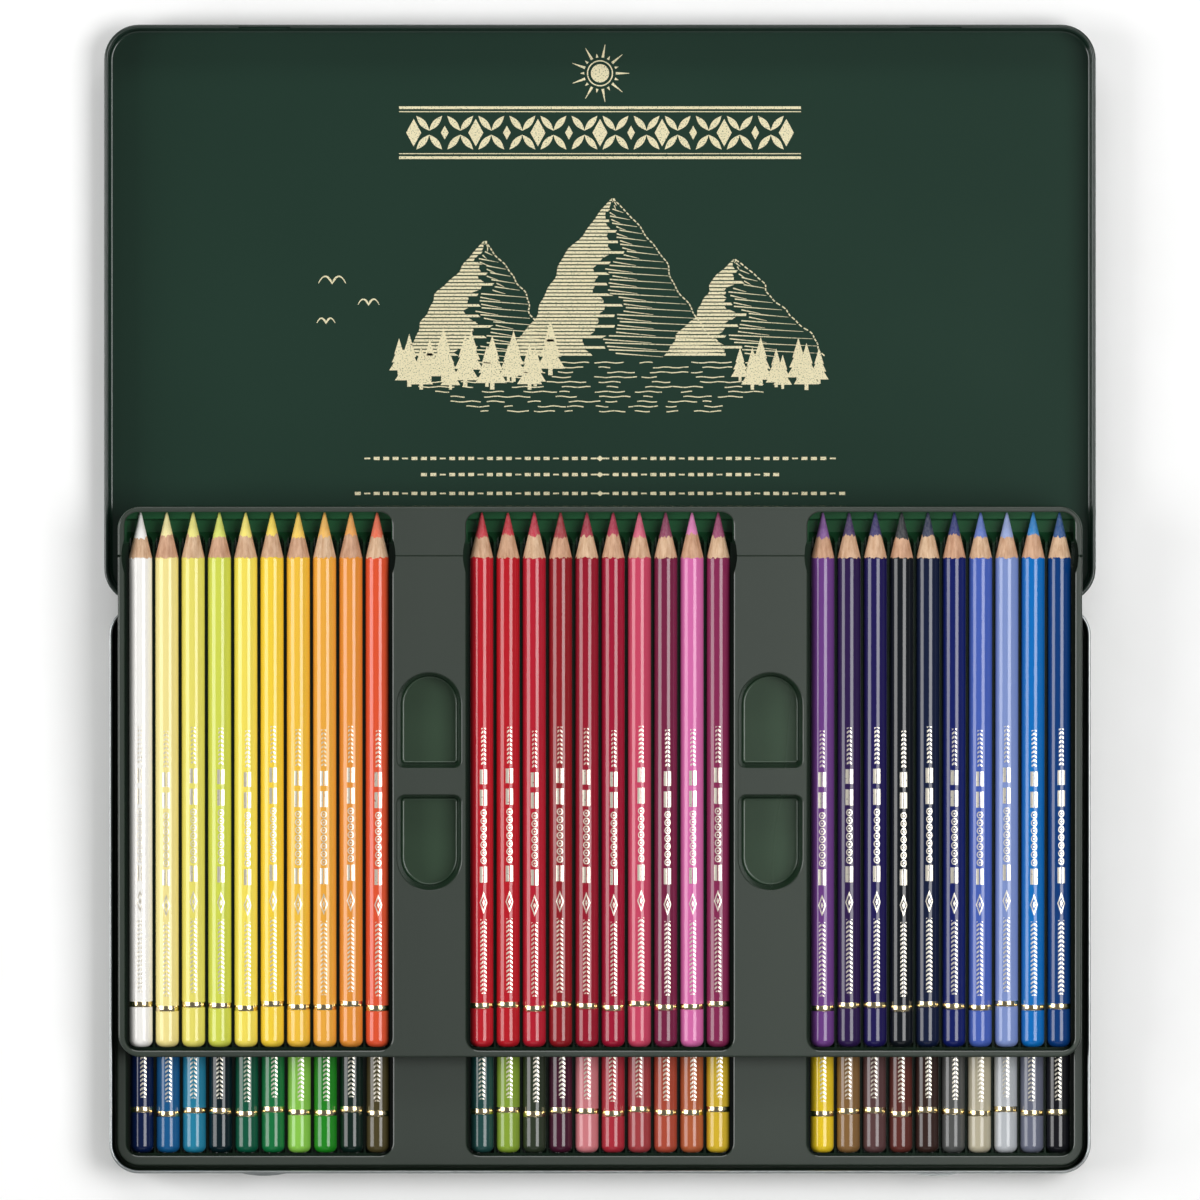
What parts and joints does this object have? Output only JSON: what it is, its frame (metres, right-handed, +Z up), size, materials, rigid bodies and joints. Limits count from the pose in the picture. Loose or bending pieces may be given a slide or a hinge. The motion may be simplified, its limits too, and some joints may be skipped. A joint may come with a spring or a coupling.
{
  "type": "colored pencil tin",
  "caption": "Flat hinged metal tin lying open, with stacked moulded trays that hold a full range of sharpened coloured pencils for drawing",
  "frame": {"origin": "bottom centre of the open tin's bounding box, on the surface that it lies on", "axes": "+X to the right along the hinge, +Y from the base towards the open lid, +Z up"},
  "size_m": [0.325, 0.3772, 0.0267],
  "materials": {
    "tinplate": "satin",
    "lid_enamel": "gloss",
    "pin_steel": "satin",
    "tray_plastic": "gloss",
    "cedar_left": "gloss lacquer",
    "cedar_middle": "gloss lacquer",
    "cedar_right": "gloss lacquer",
    "pigment_lead": "matte",
    "pencil_01": "gloss lacquer",
    "pencil_02": "gloss lacquer",
    "pencil_03": "gloss lacquer",
    "pencil_04": "gloss lacquer",
    "pencil_05": "gloss lacquer",
    "pencil_06": "gloss lacquer",
    "pencil_07": "gloss lacquer",
    "pencil_08": "gloss lacquer",
    "pencil_09": "gloss lacquer",
    "pencil_10": "gloss lacquer",
    "pencil_11": "gloss lacquer",
    "pencil_12": "gloss lacquer",
    "pencil_13": "gloss lacquer",
    "pencil_14": "gloss lacquer",
    "pencil_15": "gloss lacquer",
    "pencil_16": "gloss lacquer",
    "pencil_17": "gloss lacquer",
    "pencil_18": "gloss lacquer",
    "pencil_19": "gloss lacquer",
    "pencil_20": "gloss lacquer",
    "pencil_21": "gloss lacquer",
    "pencil_22": "gloss lacquer",
    "pencil_23": "gloss lacquer",
    "pencil_24": "gloss lacquer",
    "pencil_25": "gloss lacquer",
    "pencil_26": "gloss lacquer",
    "pencil_27": "gloss lacquer",
    "pencil_28": "gloss lacquer",
    "pencil_29": "gloss lacquer",
    "pencil_30": "gloss lacquer"
  },
  "bodies": {
    "base": {"base_shell": "tinplate", "hinge_pins": "pin_steel"},
    "lid": {"lid_shell": "lid_enamel"},
    "lower_tray": {"lower_tray": "tray_plastic", "lower_casings_left": "cedar_left", "lower_leads_left": "pigment_lead", "lower_casings_middle": "cedar_middle", "lower_leads_middle": "pigment_lead", "lower_casings_right": "cedar_right", "lower_leads_right": "pigment_lead"},
    "upper_tray": {"upper_tray": "tray_plastic"},
    "upper_pencil_01": {"upper_pencil_01": "pencil_01"},
    "upper_pencil_02": {"upper_pencil_02": "pencil_02"},
    "upper_pencil_03": {"upper_pencil_03": "pencil_03"},
    "upper_pencil_04": {"upper_pencil_04": "pencil_04"},
    "upper_pencil_05": {"upper_pencil_05": "pencil_05"},
    "upper_pencil_06": {"upper_pencil_06": "pencil_06"},
    "upper_pencil_07": {"upper_pencil_07": "pencil_07"},
    "upper_pencil_08": {"upper_pencil_08": "pencil_08"},
    "upper_pencil_09": {"upper_pencil_09": "pencil_09"},
    "upper_pencil_10": {"upper_pencil_10": "pencil_10"},
    "upper_pencil_11": {"upper_pencil_11": "pencil_11"},
    "upper_pencil_12": {"upper_pencil_12": "pencil_12"},
    "upper_pencil_13": {"upper_pencil_13": "pencil_13"},
    "upper_pencil_14": {"upper_pencil_14": "pencil_14"},
    "upper_pencil_15": {"upper_pencil_15": "pencil_15"},
    "upper_pencil_16": {"upper_pencil_16": "pencil_16"},
    "upper_pencil_17": {"upper_pencil_17": "pencil_17"},
    "upper_pencil_18": {"upper_pencil_18": "pencil_18"},
    "upper_pencil_19": {"upper_pencil_19": "pencil_19"},
    "upper_pencil_20": {"upper_pencil_20": "pencil_20"},
    "upper_pencil_21": {"upper_pencil_21": "pencil_21"},
    "upper_pencil_22": {"upper_pencil_22": "pencil_22"},
    "upper_pencil_23": {"upper_pencil_23": "pencil_23"},
    "upper_pencil_24": {"upper_pencil_24": "pencil_24"},
    "upper_pencil_25": {"upper_pencil_25": "pencil_25"},
    "upper_pencil_26": {"upper_pencil_26": "pencil_26"},
    "upper_pencil_27": {"upper_pencil_27": "pencil_27"},
    "upper_pencil_28": {"upper_pencil_28": "pencil_28"},
    "upper_pencil_29": {"upper_pencil_29": "pencil_29"},
    "upper_pencil_30": {"upper_pencil_30": "pencil_30"}
  },
  "joints": [
    {"name": "lid_hinge", "type": "hinge", "parent": "base", "child": "lid", "pos_m": [0, -0.0005, 0.0115], "axis": [-1, 0, 0], "range_deg": [-180, 0]},
    {"name": "lower_tray_lift", "type": "slide", "parent": "base", "child": "lower_tray", "axis": [0, 0, 1], "range_m": [0, 0.03]},
    {"name": "upper_tray_lift", "type": "slide", "parent": "lower_tray", "child": "upper_tray", "axis": [0, -0.866, 0.5], "range_m": [0, 0.3]},
    {"name": "pencil_01_lift", "type": "slide", "parent": "upper_tray", "child": "upper_pencil_01", "axis": [0, -0.0343, 0.9994], "range_m": [0, 0.03]},
    {"name": "pencil_02_lift", "type": "slide", "parent": "upper_tray", "child": "upper_pencil_02", "axis": [0, -0.0343, 0.9994], "range_m": [0, 0.03]},
    {"name": "pencil_03_lift", "type": "slide", "parent": "upper_tray", "child": "upper_pencil_03", "axis": [0, -0.0343, 0.9994], "range_m": [0, 0.03]},
    {"name": "pencil_04_lift", "type": "slide", "parent": "upper_tray", "child": "upper_pencil_04", "axis": [0, -0.0343, 0.9994], "range_m": [0, 0.03]},
    {"name": "pencil_05_lift", "type": "slide", "parent": "upper_tray", "child": "upper_pencil_05", "axis": [0, -0.0343, 0.9994], "range_m": [0, 0.03]},
    {"name": "pencil_06_lift", "type": "slide", "parent": "upper_tray", "child": "upper_pencil_06", "axis": [0, -0.0343, 0.9994], "range_m": [0, 0.03]},
    {"name": "pencil_07_lift", "type": "slide", "parent": "upper_tray", "child": "upper_pencil_07", "axis": [0, -0.0343, 0.9994], "range_m": [0, 0.03]},
    {"name": "pencil_08_lift", "type": "slide", "parent": "upper_tray", "child": "upper_pencil_08", "axis": [0, -0.0343, 0.9994], "range_m": [0, 0.03]},
    {"name": "pencil_09_lift", "type": "slide", "parent": "upper_tray", "child": "upper_pencil_09", "axis": [0, -0.0343, 0.9994], "range_m": [0, 0.03]},
    {"name": "pencil_10_lift", "type": "slide", "parent": "upper_tray", "child": "upper_pencil_10", "axis": [0, -0.0343, 0.9994], "range_m": [0, 0.03]},
    {"name": "pencil_11_lift", "type": "slide", "parent": "upper_tray", "child": "upper_pencil_11", "axis": [0, -0.0343, 0.9994], "range_m": [0, 0.03]},
    {"name": "pencil_12_lift", "type": "slide", "parent": "upper_tray", "child": "upper_pencil_12", "axis": [0, -0.0343, 0.9994], "range_m": [0, 0.03]},
    {"name": "pencil_13_lift", "type": "slide", "parent": "upper_tray", "child": "upper_pencil_13", "axis": [0, -0.0343, 0.9994], "range_m": [0, 0.03]},
    {"name": "pencil_14_lift", "type": "slide", "parent": "upper_tray", "child": "upper_pencil_14", "axis": [0, -0.0343, 0.9994], "range_m": [0, 0.03]},
    {"name": "pencil_15_lift", "type": "slide", "parent": "upper_tray", "child": "upper_pencil_15", "axis": [0, -0.0343, 0.9994], "range_m": [0, 0.03]},
    {"name": "pencil_16_lift", "type": "slide", "parent": "upper_tray", "child": "upper_pencil_16", "axis": [0, -0.0343, 0.9994], "range_m": [0, 0.03]},
    {"name": "pencil_17_lift", "type": "slide", "parent": "upper_tray", "child": "upper_pencil_17", "axis": [0, -0.0343, 0.9994], "range_m": [0, 0.03]},
    {"name": "pencil_18_lift", "type": "slide", "parent": "upper_tray", "child": "upper_pencil_18", "axis": [0, -0.0343, 0.9994], "range_m": [0, 0.03]},
    {"name": "pencil_19_lift", "type": "slide", "parent": "upper_tray", "child": "upper_pencil_19", "axis": [0, -0.0343, 0.9994], "range_m": [0, 0.03]},
    {"name": "pencil_20_lift", "type": "slide", "parent": "upper_tray", "child": "upper_pencil_20", "axis": [0, -0.0343, 0.9994], "range_m": [0, 0.03]},
    {"name": "pencil_21_lift", "type": "slide", "parent": "upper_tray", "child": "upper_pencil_21", "axis": [0, -0.0343, 0.9994], "range_m": [0, 0.03]},
    {"name": "pencil_22_lift", "type": "slide", "parent": "upper_tray", "child": "upper_pencil_22", "axis": [0, -0.0343, 0.9994], "range_m": [0, 0.03]},
    {"name": "pencil_23_lift", "type": "slide", "parent": "upper_tray", "child": "upper_pencil_23", "axis": [0, -0.0343, 0.9994], "range_m": [0, 0.03]},
    {"name": "pencil_24_lift", "type": "slide", "parent": "upper_tray", "child": "upper_pencil_24", "axis": [0, -0.0343, 0.9994], "range_m": [0, 0.03]},
    {"name": "pencil_25_lift", "type": "slide", "parent": "upper_tray", "child": "upper_pencil_25", "axis": [0, -0.0343, 0.9994], "range_m": [0, 0.03]},
    {"name": "pencil_26_lift", "type": "slide", "parent": "upper_tray", "child": "upper_pencil_26", "axis": [0, -0.0343, 0.9994], "range_m": [0, 0.03]},
    {"name": "pencil_27_lift", "type": "slide", "parent": "upper_tray", "child": "upper_pencil_27", "axis": [0, -0.0343, 0.9994], "range_m": [0, 0.03]},
    {"name": "pencil_28_lift", "type": "slide", "parent": "upper_tray", "child": "upper_pencil_28", "axis": [0, -0.0343, 0.9994], "range_m": [0, 0.03]},
    {"name": "pencil_29_lift", "type": "slide", "parent": "upper_tray", "child": "upper_pencil_29", "axis": [0, -0.0343, 0.9994], "range_m": [0, 0.03]},
    {"name": "pencil_30_lift", "type": "slide", "parent": "upper_tray", "child": "upper_pencil_30", "axis": [0, -0.0343, 0.9994], "range_m": [0, 0.03]}
  ],
  "couplings": [
    {"joint": "upper_tray_lift", "follows": "lid_hinge", "m_per_rad": -0.0954}
  ]
}
